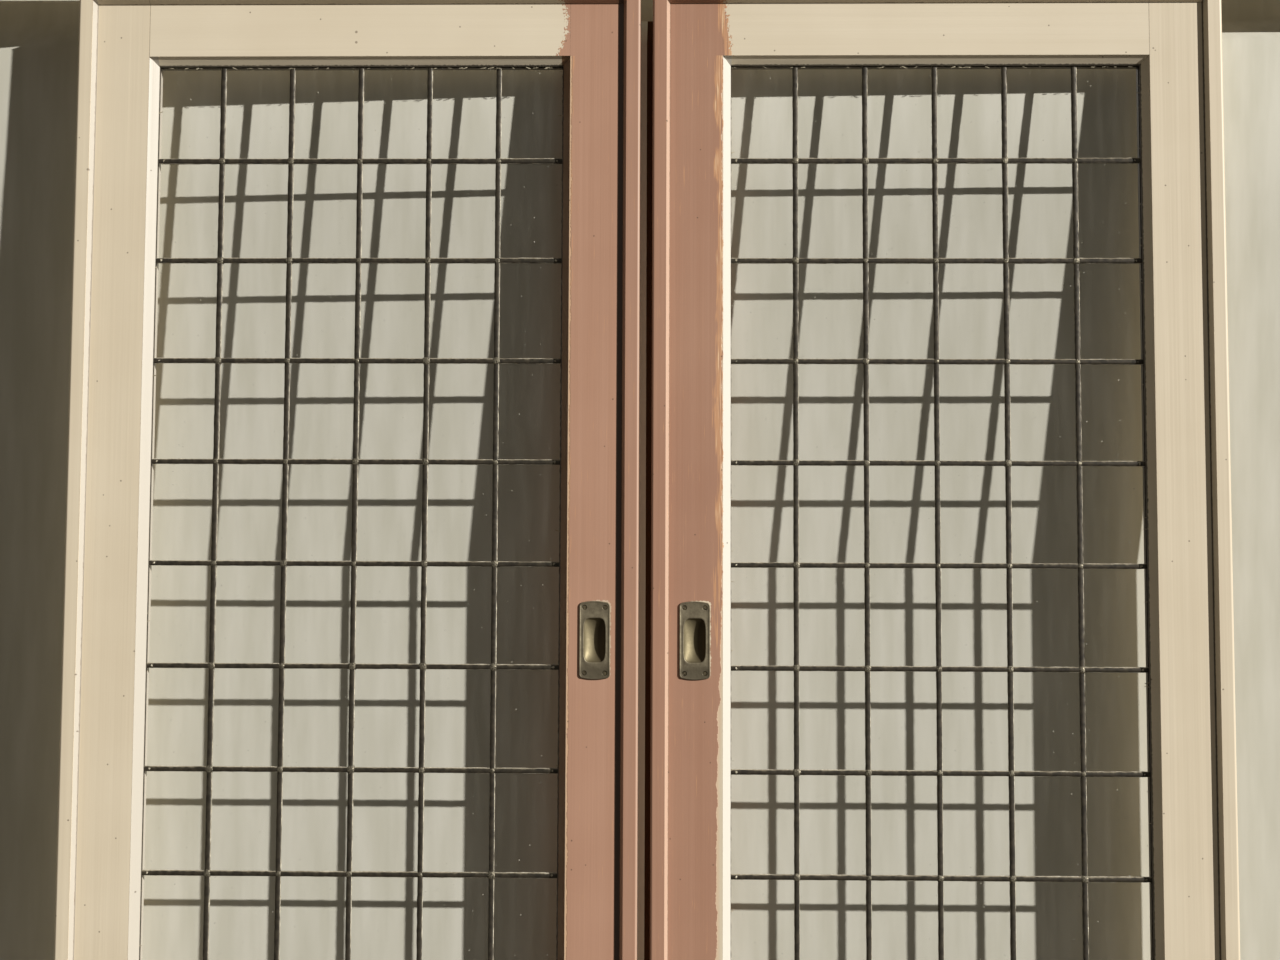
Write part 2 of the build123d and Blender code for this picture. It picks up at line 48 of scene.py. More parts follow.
# Camera
# The doors are seen from the front at chest height, from two and a half metres. Their outer edges
# just come into the picture, and their top edge and lowest panes lie outside it.
camera_place = (0.0376, -2.5487, 1.1751)
camera_yaw, camera_pitch, camera_roll = (math.radians(a) for a in (-1.035, 3.718, 0.223))
film_width = 36.0                             # mm
picture_width, focal_length = 1280, 1616      # pixels
forward = Vector((math.sin(camera_yaw) * math.cos(camera_pitch),
                  math.cos(camera_yaw) * math.cos(camera_pitch), math.sin(camera_pitch)))
level = Vector((math.cos(camera_yaw), -math.sin(camera_yaw), 0))
upward = level.cross(forward)
to_right = math.cos(camera_roll) * level + math.sin(camera_roll) * upward
to_top = math.cos(camera_roll) * upward - math.sin(camera_roll) * level
camera_data = bpy.data.cameras.new("camera")
camera_data.sensor_fit = "HORIZONTAL"
camera_data.sensor_width = film_width
camera_data.lens = film_width * focal_length / picture_width
camera = bpy.data.objects.new("camera", camera_data)
camera.matrix_world = (Matrix.Translation(camera_place)
                       @ Matrix((to_right, to_top, -forward)).transposed().to_4x4())
bpy.context.scene.collection.objects.link(camera)
bpy.context.scene.camera = camera
bpy.context.scene.view_settings.view_transform = "Standard"


# Floor, backdrop and light
# A plain pale floor, a plain pale sheet just behind the frame, and one lamp high on the right, so
# that the lead lines throw their shadows on the sheet. A weak lamp lights the back of the doors.

def linear(code):
    """Linear colour from an sRGB hex code."""
    parts = [int(code[i:i + 2], 16) / 255 for i in (1, 3, 5)]
    return tuple(p / 12.92 if p <= 0.04045 else ((p + 0.055) / 1.055) ** 2.4 for p in parts) + (1.0,)


def feed(node, inputs):
    """Fills a node's inputs, by name or in order: values, hex colours, sockets, or nodes, whose
    output is linked."""
    ready = [socket for socket in node.inputs if socket.enabled]
    for key, value in (inputs.items() if isinstance(inputs, dict) else enumerate(inputs)):
        socket = ready[key] if isinstance(key, int) else node.inputs[key]
        if isinstance(value, bpy.types.Node):
            value = next(output for output in value.outputs if output.enabled)
        if isinstance(value, bpy.types.NodeSocket):
            node.id_data.links.new(value, socket)
        else:
            socket.default_value = linear(value) if isinstance(value, str) else value


def add_node(tree, kind, inputs=(), **settings):
    """Adds a node with its settings and inputs. Its kind is named without ShaderNode and the like in
    front, and may be followed by the node's operation or data type."""
    kind, _, choice = kind.partition(" ")
    kind = next(family + kind for family in ("ShaderNode", "GeometryNode", "FunctionNode", "Node")
                if hasattr(bpy.types, family + kind))
    made = tree.nodes.new(kind)
    if choice:
        settings["operation" if hasattr(made, "operation") else "data_type"] = choice
    for key, value in settings.items():
        setattr(made, key, value)
    feed(made, inputs)
    return made


def piece_from(name, mesh):
    """Object of a mesh that is already in its place."""
    made = bpy.data.objects.new(name, mesh)
    bpy.context.scene.collection.objects.link(made)
    return made


def mesh_from(name, points, faces):
    """Mesh from points and faces."""
    mesh = bpy.data.meshes.new(name)
    mesh.from_pydata(points, [], faces)
    mesh.update()
    return mesh


# All in metres. The sheet leans in from lean_start up to panes_top, and carries painted shade
# behind the gap between the leaves up to gap_shade_top.
floor_reach, sheet_top = 9.0, 5.0
lean_start, lean_length, panes_top = 1.2, 0.77, 2.06
gap_shade_half, gap_shade_top = 0.012, 2.12
behind_panes, behind_frame = 0.096, 0.11
leaf_middle = 0.46


def sheet_depth(x, z):
    """Distance of the sheet behind the leaves' middle plane: it leans in behind the upper panes."""
    side, most, growth = (-1, 0.044, 0.03) if x < -0.05 else (1, 0.053, 0.012)
    share = max(min(z, panes_top) - lean_start, 0.0) / lean_length
    lean = share * (most + growth * (x - side * leaf_middle))
    clear_of_top = min(max((z - panes_top) / 0.06, 0.0), 1.0)
    clear_of_posts = min(max((abs(x) - 1.0) / 0.5, 0.0), 1.0)
    clear = max(clear_of_top, clear_of_posts)
    return (behind_panes - lean) * (1 - clear) + behind_frame * clear


floor_corners = [(x * floor_reach, y * floor_reach, 0) for x, y in ((-1, -1), (1, -1), (1, 1), (-1, 1))]
floor = piece_from("floor", mesh_from("floor", floor_corners, [(0, 1, 2, 3)]))
# The floor is pale to the eye but throws little light back up, as open ground outdoors does
floor_finish = bpy.data.materials.new("pale floor")
floor_finish.use_nodes = True
add = partial(add_node, floor_finish.node_tree)
floor_seen = add("LightPath").outputs["Is Camera Ray"]
floor_colour = add("Mix RGBA", (floor_seen, "#57524A", "#D9D5CB"))
feed(floor_finish.node_tree.nodes["Principled BSDF"], {"Base Color": floor_colour, "Roughness": 0.9})
floor.data.materials.append(floor_finish)

sheet_across = [-floor_reach] + [k * 0.1 for k in range(-16, 17)] + [floor_reach]
sheet_heights = [0.0, 0.6, lean_start, 1.5, 1.8, panes_top, gap_shade_top, sheet_top]
sheet_points = [(x, sheet_depth(x, z), z) for z in sheet_heights for x in sheet_across]
wide = len(sheet_across)
sheet_faces = [(r * wide + k, r * wide + k + 1, (r + 1) * wide + k + 1, (r + 1) * wide + k)
               for r in range(len(sheet_heights) - 1) for k in range(wide - 1)]
backdrop = piece_from("backdrop", mesh_from("backdrop", sheet_points, sheet_faces))
for face in backdrop.data.polygons:
    face.use_smooth = True

# A washed-over sheet: matt and pale, with faint streaks where the wash ran. It is seen from the
# front only, and throws no shadow of its own.
sheet_finish = bpy.data.materials.new("pale sheet")
sheet_finish.use_nodes = True
sheet_finish.node_tree.nodes.clear()
add = partial(add_node, sheet_finish.node_tree)
back_seen = add("NewGeometry").outputs["Backfacing"]
shadow_seen = add("LightPath").outputs["Is Shadow Ray"]
see_through = add("Math MAXIMUM", (back_seen, shadow_seen))
place = add("TexCoord").outputs["Object"]
hanging = add("VectorMath MULTIPLY", (place, (1.0, 1.0, 0.14)))
wash = add("TexNoise", {"Vector": hanging, "Scale": 32.0, "Detail": 3.0})
wash = add("MapRange", (wash, 0.35, 0.68))
wash_colour = add("Mix RGBA", (wash, "#BFBCAE", "#CAC7BB"))
# Painted shade behind the gap between the leaves: the sheet has a dark strip there, with a pale
# strip beside it on the left
on_sheet = add("SeparateXYZ", (place,))
gap_shade = add("Math ABSOLUTE", (on_sheet.outputs["X"],))
gap_shade = add("Math LESS_THAN", (gap_shade, gap_shade_half))
low_enough = add("Math LESS_THAN", (on_sheet.outputs["Z"], gap_shade_top))
gap_shade = add("Math MULTIPLY", (gap_shade, low_enough))
gap_shade_dark_side = add("Math GREATER_THAN", (on_sheet.outputs["X"], -0.0005))
gap_shade_colour = add("Mix RGBA", (gap_shade_dark_side, "#E2E6DC", "#4A3526"))
sheet_colour = add("Mix RGBA", (gap_shade, wash_colour, gap_shade_colour))
cloth = add("BsdfDiffuse", {"Color": sheet_colour})
sheet_mix = add("MixShader", (see_through, cloth, add("BsdfTransparent")))
add("OutputMaterial", {"Surface": sheet_mix})
backdrop.data.materials.append(sheet_finish)

for name, way, strength, width, tint in (("sun", (1.48, -1.0, 0.67), 5.0, 0.9, "#FFFDF8"),
                                         ("back light", (-0.5, 1, 0.8), 0.9, 30, "#FFFFFF")):
    lamp_data = bpy.data.lights.new(name, "SUN")
    lamp_data.energy = strength
    lamp_data.color = linear(tint)[:3]
    lamp_data.angle = math.radians(width)
    lamp = bpy.data.objects.new(name, lamp_data)
    lamp.rotation_mode = "QUATERNION"
    lamp.rotation_quaternion = Vector(way).normalized().to_track_quat("Z", "Y")
    bpy.context.scene.collection.objects.link(lamp)

# The sky is pale where it is seen directly, and dimmer as a mirror image and as a light
world = bpy.data.worlds.new("studio")
world.use_nodes = True
bpy.context.scene.world = world
world.node_tree.nodes.clear()
add = partial(add_node, world.node_tree)
path = add("LightPath").outputs
seen = add("Math MAXIMUM", (path["Is Camera Ray"], path["Is Transmission Ray"]))
mirrored = add("Math MULTIPLY", (path["Is Glossy Ray"], 0.2))
sky_share = add("Math MAXIMUM", (seen, mirrored))
sky_strength = add("MapRange", {"Value": sky_share, "To Min": 0.105, "To Max": 0.9})
sky = add("Background", {"Color": "#F6F1E6", "Strength": sky_strength})
add("OutputWorld", {"Surface": sky})


# Stiles, rails and raised rims
# Softwood, planed and joined, then painted with a brush: old cream oil paint all over, and a newer
# pink-brown coat on the meeting stiles, cut in by hand so that its edge wanders over the cream.
leaf_gap_half = 10.0          # mm from the middle of the doorway to a leaf's edge
leaf_width, rim_width, rim_foot = 900.0, 22.0, 27.5
bevel_line, bevel_width = 112.0, 12.5     # mm from a leaf's meeting edge to its glazing bevel
rail_bottom, rail_top = 235.0, 2018.0
sight_in, sight_out = 124.5, 775.5    # mm from a leaf's meeting edge to both ends of its sight opening
pull_middle, pull_half, pull_corner = (78.0, 1089.0), (24.0, 61.0), 6.5
# Dark and light tone of each coat: the cream by the way of the brush, the pink-brown by the leaf
cream = {"Z": ("#D7C8AE", "#DED0B7"), "X": ("#DBCDB4", "#E2D5BD")}
pink_brown = {"left": ("#B1876F", "#B98F77"), "right": ("#A67C65", "#AE856D")}
old_coat = "#D09C72"          # an older orange-tan coat that shows in streaks beside the bevels
primer = "#6B5640"


def blank_finish(name):
    """New material, what adds its nodes, its shader, and the place on the piece in millimetres."""
    material = bpy.data.materials.new(name)
    material.use_nodes = True
    add = partial(add_node, material.node_tree)
    mm = add("VectorMath SCALE", (add("TexCoord").outputs["Object"], 1000.0))
    return material, add, material.node_tree.nodes["Principled BSDF"], mm


def soft_band(add, value, middle, half, strength):
    """Shows a band round a middle value, with soft edges 0.6 wide."""
    away = add("Math SUBTRACT", (value, middle))
    away = add("Math ABSOLUTE", (away,))
    return add("MapRange", (away, half + 0.3, half - 0.3, 0.0, strength))


def painted_wood(side_name, grain):
    """Brushed oil paint on one leaf; grain is the axis that the brush followed."""
    side = leaves[side_name]
    right = side > 0
    material, add, shader, mm = blank_finish(f"{side_name}_oil_paint_along_{grain}")
    axes = add("SeparateXYZ", (mm,))
    x, z = axes.outputs["X"], axes.outputs["Z"]
    clouds, wander, scallops, band, lumps = (
        add("TexNoise", {"Vector": mm, "Scale": 1 / size, "Detail": detail})
        for size, detail in ((180, 3.0), (45, 1.0), (24, 1.0), (60, 1.0), (3, 3.0)))
    fringe, knocks = (
        add("TexNoise", {"Vector": mm, "Scale": 1 / size, "Detail": detail, "Roughness": rough})
        for size, detail, rough in ((5, 4.0, 0.65), (14, 5.0, 0.7)))
    coats = []      # what lies on the paint, from the bottom up: where it shows, and its colour

    # Bristle tracks are 3 mm wide here, coarser than real ones, so that they show
    stretch = (1.0, 1.0, 0.012) if grain == "Z" else (0.012, 1.0, 1.0)
    tracks = add("VectorMath MULTIPLY", (mm, stretch))
    bristles, strokes, ripple = (
        add("TexNoise", {"Vector": tracks, "Scale": 1 / size, "Detail": detail})
        for size, detail in ((3, 3.0), (16, 2.0), (22, 2.0)))
    tone = add("Math MULTIPLY_ADD", (bristles, 0.14, clouds))
    tone = add("Math MULTIPLY_ADD", (strokes, 0.22, tone))
    tone = add("MapRange", (tone, 0.42, 0.94))

    # The brown coat ends near the bevel. On the rails its edge runs out in a curve, which is drawn
    # once for the top and the bottom, folded about the middle of the opening.
    from_edge = add("Math MULTIPLY_ADD", (x, float(side), -leaf_gap_half))
    high_rail = add("Math GREATER_THAN", (z, rail_top))
    low_rail = add("Math LESS_THAN", (z, rail_bottom))
    on_rail = add("Math MAXIMUM", (high_rail, low_rail))
    upright = add("Math SUBTRACT", (1.0, on_rail))
    fold = z
    for way, *value in (("SUBTRACT", 1093.0), ("ABSOLUTE",), ("SUBTRACT", 992.0 if right else 973.0)):
        fold = add("Math " + way, (fold, *value))
    fold = add("Math MULTIPLY", (fold, fold))
    spread, least = (0.002, 6.0) if right else (0.0065, 5.0)
    reach = add("Math MULTIPLY_ADD", (fold, spread, least))
    swing = add("MapRange", (wander, 0.35, 0.65, -2.0, 2.0), clamp=False)
    for way, value in (("MINIMUM", 24.0), ("ADD", swing), ("MULTIPLY", on_rail),
                       ("ADD", bevel_line + 0.2)):
        reach = add("Math " + way, (reach, value))
    # On the stiles it stops short of the bevel, by more and more down the right-hand one
    short = add("MapRange", (z, 1150.0, 870.0, *((-1.2, -9.5) if right else (-3.0, -3.4))))
    line = add("Math MULTIPLY_ADD", (short, upright, reach))
    inside = add("Math SUBTRACT", (line, from_edge))
    # Its edge is torn by the bristles, and scalloped where the brush was set down again
    loose = add("Math MULTIPLY_ADD", (on_rail, 20.0, 4.0))
    frayed = lumps
    for way, value in (("ADD", fringe), ("SUBTRACT", 1.0), ("MULTIPLY", loose)):
        frayed = add("Math " + way, (frayed, value))
    scallops = add("Math SUBTRACT", (scallops, 0.5))
    frayed = add("Math MULTIPLY_ADD", (scallops, 8.0 if right else 5.0, frayed))
    inside_frayed = add("Math ADD", (inside, frayed))
    cover = add("MapRange", (inside_frayed, -0.4, 0.6), interpolation_type="SMOOTHSTEP")

    cream_coat, brown_coat = (
        add("Mix RGBA", (tone, dark, light))
        for dark, light in (cream[grain], pink_brown[side_name]))
    smeared = add("MapRange", (inside, -6.0, -1.0, 0.0, 0.35 if right else 0.7))
    smeared = add("Math MULTIPLY", (smeared, upright))
    cream_coat = add("Mix RGBA", (smeared, cream_coat, old_coat))
    # Beside the line the brush ran dry, so that the older tan coat shows through in long streaks
    dry_track = add("VectorMath MULTIPLY", (mm, (1.0, 1.0, 0.03)))
    dry = add("TexNoise", {"Vector": dry_track, "Scale": 1 / 1.8, "Detail": 3.0})
    band = add("MapRange", (band, 0.35, 0.65, *((7.0, 16.0) if right else (2.0, 5.0))))
    near = add("Math SUBTRACT", (band, inside))
    near = add("MapRange", (near, -2.0, 4.0))
    dry_height = add("MapRange", (z, 980.0, 1260.0))
    near = add("Math MULTIPLY", (near, dry_height))
    rubbed = add("Math MULTIPLY_ADD", (near, 0.30 if right else 0.2, dry))
    # The palest streaks are a painted highlight, where the ridges of the dry brush marks catch the lamp
    for low, most, tan in ((0.66, 0.75, old_coat), (0.85, 0.8, "#EDCDA6")):
        streak = add("MapRange", (rubbed, low, low + 0.1, 0.0, most))
        brown_coat = add("Mix RGBA", (streak, brown_coat, tan))
    if not right:
        # The left-hand meeting bevel has a thin brown wash over its cream, made darker than the brown
        # coat as painted shade, as this bevel faces away from the lamp
        washed_and_shaded = soft_band(add, from_edge, bevel_line + 7.0, 7.0, 0.9)
        coats.append((add("Math MULTIPLY", (washed_and_shaded, upright)), "#7A502C"))

    # Painted shade in the quirks and corners: the paint darkens where ambient occlusion is high, and
    # dirt gathers there too
    hollow = add("AmbientOcclusion", {"Distance": 0.007}, samples=4).outputs["AO"]
    corner_shade_and_dirt = add("MapRange", (hollow, 0.62, 0.30, 0.0, 0.85))
    coats.append((corner_shade_and_dirt, "#2E271C"))

    # Painted shade with dirt: a black line along the sight edge of the top bevel and of the side bevel
    # away from the lamp, where the rebate's shadow falls and dirt and old putty lie
    past_side, past_other = (
        add("Math MULTIPLY_ADD", (from_edge, way, edge))
        for way, edge in ((float(side), -sight_out if right else sight_in),
                          (float(-side), sight_in if right else -sight_out)))
    past_top = add("Math SUBTRACT", (z, rail_top - bevel_width))
    past = add("Math MAXIMUM", (past_side, past_top))
    ragged = add("Math MULTIPLY_ADD", (lumps, -3.0, past))
    sight_line_shade_and_dirt = add("MapRange", (ragged, 0.6, -0.1, 0.0, 0.85))
    for limit in (-0.6, past_other):
        ahead = add("Math GREATER_THAN", (past, limit))
        sight_line_shade_and_dirt = add("Math MULTIPLY", (sight_line_shade_and_dirt, ahead))
    coats.append((sight_line_shade_and_dirt, "#241D14"))

    # Painted light: the bevels that face the lamp get a whiter, greyer paint, which stands in for their
    # cream washing out in strong light
    lit_bevel_paint = add("Math GREATER_THAN", (past_other, -1.0))
    before_end = add("Math LESS_THAN", (past_other, bevel_width + 0.1))
    before_end = add("Math SUBTRACT", (before_end, on_rail), use_clamp=True)
    lit_bevel_paint = add("Math MULTIPLY", (lit_bevel_paint, before_end))
    if not right:
        on_rim = add("Math COMPARE", (from_edge, 874.8, 3.2))
        lit_bevel_paint = add("Math MAXIMUM", (lit_bevel_paint, on_rim))
    bare = corner_shade_and_dirt
    for worn_off in (sight_line_shade_and_dirt, cover if right else 0.0):
        bare = add("Math MAXIMUM", (bare, worn_off))
    lit_bevel_paint = add("Math SUBTRACT", (lit_bevel_paint, bare), use_clamp=True)
    coats.append((lit_bevel_paint, "#CFC9BD" if right else "#BDB5A7"))

    # Painted highlight with wear: the meeting rims' bevel and arris on the side that faces the lamp are
    # paler, where they catch its light and hands and cloths rub them
    coats.append((soft_band(add, from_edge, *((24.6, 2.9) if right else (1.0, 1.3)), 0.35), "#E3CDB6"))

    if not right:
        # On the left leaf the brown of the rim's face is a shade darker than that of the stile
        rim_tone = add("MapRange", (from_edge, rim_width - 1.0, rim_width + 0.5, 0.14, 0.0))
        coats.append((add("Math MULTIPLY", (rim_tone, cover)), "#5E4030"))

    # Painted shadow: a dark band on the stile beside its rim, on the side away from the lamp, where the
    # rim's shadow falls
    foot = from_edge
    for way, value in (("SUBTRACT", leaf_width - rim_foot if right else rim_foot),
                       ("MULTIPLY", float(-side))):
        foot = add("Math " + way, (foot, value))
    foot = add("Math MULTIPLY_ADD", (lumps, -1.2, foot))
    rim_shadow = add("MapRange", (foot, *((1.2, 0.4) if right else (7.2, 6.2)), 0.0, 0.85))
    past_foot = add("Math GREATER_THAN", (foot, -1.4))
    coats.append((add("Math MULTIPLY", (rim_shadow, past_foot)), "#2A2017"))

    # A hairline has opened where the rails' shoulders meet the outer stile
    joint = add("Math MULTIPLY_ADD", (fringe, 1.2, from_edge))
    joint = add("Math COMPARE", (joint, 788.6, 0.45))
    for share in (on_rail, 0.45):
        joint = add("Math MULTIPLY", (joint, share))
    coats.append((joint, primer))

    # Single marks where the photo shows them: filled nail holes, a dot and knocks (x, z, radius in mm)
    marks = ((804.0, 2028.5, 1.6), (807.0, 2025.0, 1.1)) if right else (
        (-465.4, 2057.6, 2.2), (-465.4, 2040.7, 2.2), (-55.1, 2056.0, 1.5), (-889.0, 1832.0, 2.0),
        (-843.0, 1265.0, 1.3))
    flat_place = add("CombineXYZ", {"X": x, "Y": z})
    for mark_x, mark_z, radius in marks:
        off = add("VectorMath DISTANCE", (flat_place, (mark_x, mark_z, 0.0)))
        off = add("Math MULTIPLY_ADD", (fringe, 1.4, off))
        coats.append((add("MapRange", (off, radius + 1.0, radius + 0.2, 0.0, 0.6)), "#5E4B36"))

    # Brush loads of the old cream coat stand up round the pull's recess; a painted highlight makes them
    # pale only along its right and top edges, which face the lamp
    off_pull, past_corner = {}, {}
    for key, value, middle, half in (("X", x, side * pull_middle[0], pull_half[0]),
                                     ("Y", z, pull_middle[1], pull_half[1])):
        away = add("Math SUBTRACT", (value, middle))
        off_pull[key] = away
        for way, *limit in (("ABSOLUTE",), ("SUBTRACT", half - pull_corner), ("MAXIMUM", 0.0)):
            away = add("Math " + way, (away, *limit))
        past_corner[key] = away
    off_plate = add("VectorMath LENGTH", (add("CombineXYZ", past_corner),))
    ridge_edge = add("Math MULTIPLY_ADD", (fringe, -9.0, off_plate))
    ridge_highlight = add("MapRange", (ridge_edge, 3.2, 2.6, 0.0, 0.9 if right else 0.5))
    lit_side = add("Math MULTIPLY_ADD", (off_pull["Y"], 0.25, off_pull["X"]))
    lit_side = add("MapRange", (lit_side, 8.0, 14.0))
    at_front = add("Math LESS_THAN", (axes.outputs["Y"], -10.0))
    for share in (lit_side, at_front):
        ridge_highlight = add("Math MULTIPLY", (ridge_highlight, share))
    coats.append((ridge_highlight, "#E6D6BC"))

    # Small knocks along the sharp edges bare the darker primer
    edge_seen = add("AmbientOcclusion", {"Distance": 0.0022}, samples=4, inside=True, only_local=True)
    worn = add("Math SUBTRACT", (knocks, edge_seen.outputs["AO"]))
    coats.append((add("MapRange", (worn, 0.02, 0.10, 0.0, 0.8)), primer))

    # Specks of dirt, about 2 mm across and a hand's width apart
    spots = add("TexVoronoi", {"Vector": flat_place, "Scale": 1 / 95}, voronoi_dimensions="2D")
    fleck = add("Math MULTIPLY_ADD", (fringe, 0.02, spots))
    coats.append((add("MapRange", (fleck, 0.025, 0.018, 0.0, 0.75)), "#5A4936"))

    colour = add("Mix RGBA", (cover, cream_coat, brown_coat))
    for shown, code in coats:
        colour = add("Mix RGBA", (shown, colour, code))

    # Brush marks, the waves under them, the step of the brown coat, and rim corners rubbed round
    # over the last four millimetres
    fine = add("Bump", {"Strength": 0.5, "Distance": 0.00025, "Height": bristles})
    broad = add("Bump", {"Strength": 0.5, "Distance": 0.0012, "Height": ripple, "Normal": fine})
    ridge = add("Bump", {"Strength": 0.6, "Distance": 0.0006, "Height": cover, "Normal": broad})
    to_corner = add("Math SUBTRACT", (leaf_width, from_edge))
    to_corner = add("Math MINIMUM", (to_corner, from_edge))
    rounding = add("MapRange", (to_corner, 4.0, 0.0))
    rounding = add("Math POWER", (rounding, 2.0))
    rounding = add("Bump", {"Strength": 1.0, "Distance": 0.002, "Height": rounding, "Normal": ridge},
                   invert=True)
    rough = add("MapRange", (strokes, 0.3, 0.7, 0.42, 0.58))
    feed(shader, {"Base Color": colour, "Roughness": rough, "Normal": rounding})
    return material


def paint_node(node, material):
    """Gives a solid's every slot one material."""
    slots = nodes[node].material_slots
    for slot in slots:
        slot.material = material
    if not slots:
        nodes[node].data.materials.append(material)


# Old oil paint: a soft sheen, brush tracks along each member, dirt and knocks where hands go, and
# painted shade and highlights where the light falls
for name in leaves:
    for grain, places in (("Z", ("meeting", "outer")), ("X", ("top", "bottom"))):
        paint = painted_wood(name, grain)
        for place in places:
            for piece in ("stile" if grain == "Z" else "rail", "rim", "bead"):
                paint_node(f"{name}_{place}_{piece}", paint)


# Leaded light
# Cast and milled lead strips of H section, bent true, soldered at every crossing and rubbed with
# cement. The lead has gone dull and dark, and the solder stands up in small lumpy domes.
came_width = 0.008
came_rise = 0.0014
columns, rows = 6, 11


def weathered(name, dark, light, grain_mm, roughness, metallic, bump_mm, dust_and_top_light=None):
    """Aged finish: two tones in patches of a given size, pitted, with pale dusting and painted light on
    tops.
    """
    material, add, shader, mm = blank_finish(name)
    patches = add("TexNoise", {"Vector": mm, "Scale": 1 / grain_mm, "Detail": 4.0})
    tone = add("MapRange", (patches, 0.35, 0.65))
    colour = add("Mix RGBA", (tone, dark, light))
    if dust_and_top_light:
        facing = add("SeparateXYZ", (add("NewGeometry").outputs["Normal"],))
        dust_and_light_on_top = add("Math MULTIPLY_ADD", (patches, 1.2, facing.outputs["Z"]))
        dust_and_light_on_top = add("MapRange", (dust_and_light_on_top, 0.9, 1.35, 0.0, 0.7))
        colour = add("Mix RGBA", (dust_and_light_on_top, colour, dust_and_top_light))
    rough = add("MapRange", (patches, 0.3, 0.7, roughness + 0.1, roughness - 0.1))
    pits = add("TexNoise", {"Vector": mm, "Scale": 1.5 / grain_mm, "Detail": 3.0})
    bump = add("Bump", {"Strength": 0.6, "Distance": bump_mm / 1000, "Height": pits})
    feed(shader, {"Base Color": colour, "Roughness": rough, "Metallic": metallic, "Normal": bump})
    return material


def new_tree(name, **sizes):
    """Starts a geometry tree: gives what adds its nodes, and its inputs, which are listed by kind."""
    tree = bpy.data.node_groups.new(name, "GeometryNodeTree")
    tree.is_modifier = True
    for kind, labels in sizes.items():
        for label in labels:
            tree.interface.new_socket(label, in_out="INPUT", socket_type="NodeSocket" + kind)
    tree.interface.new_socket("Geometry", in_out="OUTPUT", socket_type="NodeSocketGeometry")
    return partial(add_node, tree), add_node(tree, "GroupInput").outputs


def roughened(add, geometry, reach, noise):
    """Moves every point by a noise, at most half of reach along each axis."""
    push = add("TexNoise", {"Vector": add("InputPosition")} | noise,
               noise_dimensions="4D" if "W" in noise else "3D")
    push = add("VectorMath SUBTRACT", (push.outputs["Color"], (0.5, 0.5, 0.5)))
    push = add("VectorMath MULTIPLY", (push, reach))
    return add("SetPosition", {"Geometry": geometry, "Offset": push})


def close_tree(add, centre, geometry, material, smooth):
    """Ends a geometry tree: brings it to its centre, makes its copies real and gives the material."""
    made = add("Transform", {"Geometry": geometry, "Translation": centre})
    if smooth:
        made = add("SetShadeSmooth", (made,))
    made = add("RealizeInstances", (made,))
    made = add("SetMaterial", {"Geometry": made, "Material": material})
    return add("GroupOutput", (made,)).id_data


def turn_outward(mesh, front=None):
    """Points a mesh's faces outwards; the faces at the depth of front look to the front."""
    work = bmesh.new()
    work.from_mesh(mesh)
    bmesh.ops.recalc_face_normals(work, faces=work.faces)
    if front is not None and sum(
            face.normal.y for face in work.faces if abs(face.calc_center_median().y - front) < 1e-4) > 0:
        bmesh.ops.reverse_faces(work, faces=work.faces)
    work.to_mesh(mesh)
    work.free()


def grown(name, tree, values):
    """Piece that a geometry tree makes from named values, as a plain mesh."""
    holder = piece_from(name + "_holder", bpy.data.meshes.new(name + "_seed"))
    modifier = holder.modifiers.new("shape", "NODES")
    modifier.node_group = tree
    for item in tree.interface.items_tree:
        if item.in_out == "INPUT":
            modifier[item.identifier] = values[item.name]
    graph = bpy.context.evaluated_depsgraph_get()
    mesh = bpy.data.meshes.new_from_object(holder.evaluated_get(graph), depsgraph=graph)
    mesh.name = name
    used = [m for m in mesh.materials if m]
    mesh.materials.clear()
    mesh.materials.append(used[0])
    for face in mesh.polygons:
        face.material_index = 0
    turn_outward(mesh)
    holder.modifiers.clear()
    bpy.data.objects.remove(holder)
    return piece_from(name, mesh)


